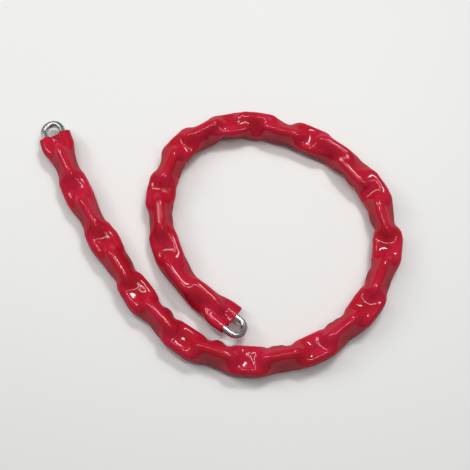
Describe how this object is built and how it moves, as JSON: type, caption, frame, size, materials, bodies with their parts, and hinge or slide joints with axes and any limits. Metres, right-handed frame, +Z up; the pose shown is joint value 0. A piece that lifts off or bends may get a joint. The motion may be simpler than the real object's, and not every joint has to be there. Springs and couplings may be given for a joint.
{
  "type": "sleeved security chain",
  "caption": "Security chain of round-wire links in a loose, glossy translucent red vinyl sleeve, laid in a nearly closed loop, with a bare end link at each end for a padlock.",
  "frame": {"origin": "under the middle of the chain's box, on the surface that it lies on", "axes": "+Z up; the loop lies in the XY plane, its long side along X, the first end link at -X +Y"},
  "size_m": [0.3068, 0.2282, 0.0247],
  "materials": {
    "zinc_plated_steel": "bright zinc-plated round steel wire, lightly scuffed",
    "red_vinyl": "soft glossy translucent red vinyl tube, loosely wrinkled round the links"
  },
  "bodies": {
    "link_01": {"link_01": "zinc_plated_steel"},
    "link_02": {"link_02": "zinc_plated_steel", "sleeve_01": "red_vinyl"},
    "link_03": {"link_03": "zinc_plated_steel"},
    "link_04": {"link_04": "zinc_plated_steel", "sleeve_02": "red_vinyl"},
    "link_05": {"link_05": "zinc_plated_steel"},
    "link_06": {"link_06": "zinc_plated_steel", "sleeve_03": "red_vinyl"},
    "link_07": {"link_07": "zinc_plated_steel"},
    "link_08": {"link_08": "zinc_plated_steel", "sleeve_04": "red_vinyl"},
    "link_09": {"link_09": "zinc_plated_steel"},
    "link_10": {"link_10": "zinc_plated_steel", "sleeve_05": "red_vinyl"},
    "link_11": {"link_11": "zinc_plated_steel"},
    "link_12": {"link_12": "zinc_plated_steel", "sleeve_06": "red_vinyl"},
    "link_13": {"link_13": "zinc_plated_steel"},
    "link_14": {"link_14": "zinc_plated_steel", "sleeve_07": "red_vinyl"},
    "link_15": {"link_15": "zinc_plated_steel"},
    "link_16": {"link_16": "zinc_plated_steel", "sleeve_08": "red_vinyl"},
    "link_17": {"link_17": "zinc_plated_steel"},
    "link_18": {"link_18": "zinc_plated_steel", "sleeve_09": "red_vinyl"},
    "link_19": {"link_19": "zinc_plated_steel"},
    "link_20": {"link_20": "zinc_plated_steel", "sleeve_10": "red_vinyl"},
    "link_21": {"link_21": "zinc_plated_steel"},
    "link_22": {"link_22": "zinc_plated_steel", "sleeve_11": "red_vinyl"},
    "link_23": {"link_23": "zinc_plated_steel"},
    "link_24": {"link_24": "zinc_plated_steel", "sleeve_12": "red_vinyl"},
    "link_25": {"link_25": "zinc_plated_steel"},
    "link_26": {"link_26": "zinc_plated_steel", "sleeve_13": "red_vinyl"},
    "link_27": {"link_27": "zinc_plated_steel"},
    "link_28": {"link_28": "zinc_plated_steel", "sleeve_14": "red_vinyl"},
    "link_29": {"link_29": "zinc_plated_steel"},
    "link_30": {"link_30": "zinc_plated_steel", "sleeve_15": "red_vinyl"},
    "link_31": {"link_31": "zinc_plated_steel"},
    "link_32": {"link_32": "zinc_plated_steel", "sleeve_16": "red_vinyl"},
    "link_33": {"link_33": "zinc_plated_steel"},
    "link_34": {"link_34": "zinc_plated_steel", "sleeve_17": "red_vinyl"}
  },
  "joints": [
    {"name": "hinge_01_02", "type": "hinge", "parent": "link_02", "child": "link_01", "pos_m": [-0.13572, 0.07947, 0.01235], "axis": [0, 0, 1], "range_deg": [-15, 15], "deforming": ["sleeve_01"]},
    {"name": "hinge_02_03", "type": "hinge", "parent": "link_03", "child": "link_02", "pos_m": [-0.12184, 0.04867, 0.01235], "axis": [0, 0, 1], "range_deg": [-15, 15], "deforming": ["sleeve_01"]},
    {"name": "hinge_03_04", "type": "hinge", "parent": "link_04", "child": "link_03", "pos_m": [-0.11405, 0.03287, 0.01235], "axis": [0, 0, 1], "range_deg": [-15, 15], "deforming": ["sleeve_02"]},
    {"name": "hinge_04_05", "type": "hinge", "parent": "link_05", "child": "link_04", "pos_m": [-0.09728, 0.00355, 0.01235], "axis": [0, 0, 1], "range_deg": [-15, 15], "deforming": ["sleeve_02"]},
    {"name": "hinge_05_06", "type": "hinge", "parent": "link_06", "child": "link_05", "pos_m": [-0.08773, -0.01116, 0.01235], "axis": [0, 0, 1], "range_deg": [-15, 15], "deforming": ["sleeve_03"]},
    {"name": "hinge_06_07", "type": "hinge", "parent": "link_07", "child": "link_06", "pos_m": [-0.06906, -0.03952, 0.01235], "axis": [0, 0, 1], "range_deg": [-15, 15], "deforming": ["sleeve_03"]},
    {"name": "hinge_07_08", "type": "hinge", "parent": "link_08", "child": "link_07", "pos_m": [-0.05708, -0.05543, 0.01235], "axis": [0, 0, 1], "range_deg": [-8, 15], "deforming": ["sleeve_04"]},
    {"name": "hinge_08_09", "type": "hinge", "parent": "link_09", "child": "link_08", "pos_m": [-0.03331, -0.07948, 0.01235], "axis": [0, 0, 1], "range_deg": [-8, 15], "deforming": ["sleeve_04"]},
    {"name": "hinge_09_10", "type": "hinge", "parent": "link_10", "child": "link_09", "pos_m": [-0.0165, -0.09029, 0.01235], "axis": [0, 0, 1], "range_deg": [-4, 15], "deforming": ["sleeve_05"]},
    {"name": "hinge_10_11", "type": "hinge", "parent": "link_11", "child": "link_10", "pos_m": [0.01569, -0.10063, 0.01235], "axis": [0, 0, 1], "range_deg": [-4, 15], "deforming": ["sleeve_05"]},
    {"name": "hinge_11_12", "type": "hinge", "parent": "link_11", "child": "link_12", "pos_m": [0.03564, -0.10184, 0.01235], "axis": [0, 0, 1], "range_deg": [-15, 1.5], "deforming": ["sleeve_06"]},
    {"name": "hinge_12_13", "type": "hinge", "parent": "link_12", "child": "link_13", "pos_m": [0.06885, -0.09552, 0.01235], "axis": [0, 0, 1], "range_deg": [-15, 1.5], "deforming": ["sleeve_06"]},
    {"name": "hinge_13_14", "type": "hinge", "parent": "link_13", "child": "link_14", "pos_m": [0.087, -0.08711, 0.01235], "axis": [0, 0, 1], "range_deg": [-15, 1], "deforming": ["sleeve_07"]},
    {"name": "hinge_14_15", "type": "hinge", "parent": "link_14", "child": "link_15", "pos_m": [0.11347, -0.06609, 0.01235], "axis": [0, 0, 1], "range_deg": [-15, 1], "deforming": ["sleeve_07"]},
    {"name": "hinge_15_16", "type": "hinge", "parent": "link_15", "child": "link_16", "pos_m": [0.12557, -0.05017, 0.01235], "axis": [0, 0, 1], "range_deg": [-15, 0.5], "deforming": ["sleeve_08"]},
    {"name": "hinge_16_17", "type": "hinge", "parent": "link_16", "child": "link_17", "pos_m": [0.13868, -0.01901, 0.01235], "axis": [0, 0, 1], "range_deg": [-15, 0.5], "deforming": ["sleeve_08"]},
    {"name": "hinge_17_18", "type": "hinge", "parent": "link_17", "child": "link_18", "pos_m": [0.14134, 0.00125, 0.01235], "axis": [0, 0, 1], "range_deg": [-15, 1], "deforming": ["sleeve_09"]},
    {"name": "hinge_18_19", "type": "hinge", "parent": "link_18", "child": "link_19", "pos_m": [0.13439, 0.03297, 0.01235], "axis": [0, 0, 1], "range_deg": [-15, 1], "deforming": ["sleeve_09"]},
    {"name": "hinge_19_20", "type": "hinge", "parent": "link_19", "child": "link_20", "pos_m": [0.12546, 0.04964, 0.01235], "axis": [0, 0, 1], "range_deg": [-15, 1], "deforming": ["sleeve_10"]},
    {"name": "hinge_20_21", "type": "hinge", "parent": "link_20", "child": "link_21", "pos_m": [0.11131, 0.06612, 0.01235], "axis": [0, 0, 1], "range_deg": [-15, 1], "deforming": ["sleeve_10"]},
    {"name": "hinge_21_22", "type": "hinge", "parent": "link_21", "child": "link_22", "pos_m": [0.08681, 0.08408, 0.01235], "axis": [0, 0, 1], "range_deg": [-12, 2.5], "deforming": ["sleeve_11"]},
    {"name": "hinge_22_23", "type": "hinge", "parent": "link_22", "child": "link_23", "pos_m": [0.07177, 0.09106, 0.01235], "axis": [0, 0, 1], "range_deg": [-12, 2.5], "deforming": ["sleeve_11"]},
    {"name": "hinge_23_24", "type": "hinge", "parent": "link_23", "child": "link_24", "pos_m": [0.04366, 0.0993, 0.01235], "axis": [0, 0, 1], "range_deg": [-2.5, 3], "deforming": ["sleeve_12"]},
    {"name": "hinge_24_25", "type": "hinge", "parent": "link_24", "child": "link_25", "pos_m": [0.0203, 0.1024, 0.01235], "axis": [0, 0, 1], "range_deg": [-2.5, 3], "deforming": ["sleeve_12"]},
    {"name": "hinge_25_26", "type": "hinge", "parent": "link_25", "child": "link_26", "pos_m": [0.00313, 0.10029, 0.01235], "axis": [0, 0, 1], "range_deg": [-1, 10], "deforming": ["sleeve_13"]},
    {"name": "hinge_26_27", "type": "hinge", "parent": "link_26", "child": "link_27", "pos_m": [-0.02615, 0.08448, 0.01235], "axis": [0, 0, 1], "range_deg": [-1, 10], "deforming": ["sleeve_13"]},
    {"name": "hinge_27_28", "type": "hinge", "parent": "link_27", "child": "link_28", "pos_m": [-0.03351, 0.07634, 0.01235], "axis": [0, 0, -1], "range_deg": [-15, 0.5], "deforming": ["sleeve_14"]},
    {"name": "hinge_28_29", "type": "hinge", "parent": "link_28", "child": "link_29", "pos_m": [-0.04605, 0.04476, 0.01235], "axis": [0, 0, -1], "range_deg": [-15, 0.5], "deforming": ["sleeve_14"]},
    {"name": "hinge_29_30", "type": "hinge", "parent": "link_29", "child": "link_30", "pos_m": [-0.04756, 0.03425, 0.01235], "axis": [0, 0, 1], "range_deg": [-0.5, 15], "deforming": ["sleeve_15"]},
    {"name": "hinge_30_31", "type": "hinge", "parent": "link_30", "child": "link_31", "pos_m": [-0.04477, 0.00038, 0.01235], "axis": [0, 0, 1], "range_deg": [-0.5, 15], "deforming": ["sleeve_15"]},
    {"name": "hinge_31_32", "type": "hinge", "parent": "link_31", "child": "link_32", "pos_m": [-0.03722, -0.02041, 0.01235], "axis": [0, 0, 1], "range_deg": [-1, 5], "deforming": ["sleeve_16"]},
    {"name": "hinge_32_33", "type": "hinge", "parent": "link_32", "child": "link_33", "pos_m": [-0.02, -0.04399, 0.01235], "axis": [0, 0, 1], "range_deg": [-1, 5], "deforming": ["sleeve_16"]},
    {"name": "hinge_33_34", "type": "hinge", "parent": "link_33", "child": "link_34", "pos_m": [-0.00119, -0.06121, 0.01235], "axis": [0, 0, 1], "range_deg": [-8.5, 15], "deforming": ["sleeve_17"]}
  ],
  "couplings": [
    {"joint": "hinge_01_02", "follows": "hinge_02_03", "ratio": 1},
    {"joint": "hinge_03_04", "follows": "hinge_04_05", "ratio": 1},
    {"joint": "hinge_05_06", "follows": "hinge_06_07", "ratio": 1},
    {"joint": "hinge_07_08", "follows": "hinge_08_09", "ratio": 1},
    {"joint": "hinge_09_10", "follows": "hinge_10_11", "ratio": 1},
    {"joint": "hinge_12_13", "follows": "hinge_11_12", "ratio": 1},
    {"joint": "hinge_14_15", "follows": "hinge_13_14", "ratio": 1},
    {"joint": "hinge_16_17", "follows": "hinge_15_16", "ratio": 1},
    {"joint": "hinge_18_19", "follows": "hinge_17_18", "ratio": 1},
    {"joint": "hinge_20_21", "follows": "hinge_19_20", "ratio": 1},
    {"joint": "hinge_22_23", "follows": "hinge_21_22", "ratio": 1},
    {"joint": "hinge_24_25", "follows": "hinge_23_24", "ratio": 1},
    {"joint": "hinge_26_27", "follows": "hinge_25_26", "ratio": 1},
    {"joint": "hinge_28_29", "follows": "hinge_27_28", "ratio": 1},
    {"joint": "hinge_30_31", "follows": "hinge_29_30", "ratio": 1},
    {"joint": "hinge_32_33", "follows": "hinge_31_32", "ratio": 1}
  ]
}
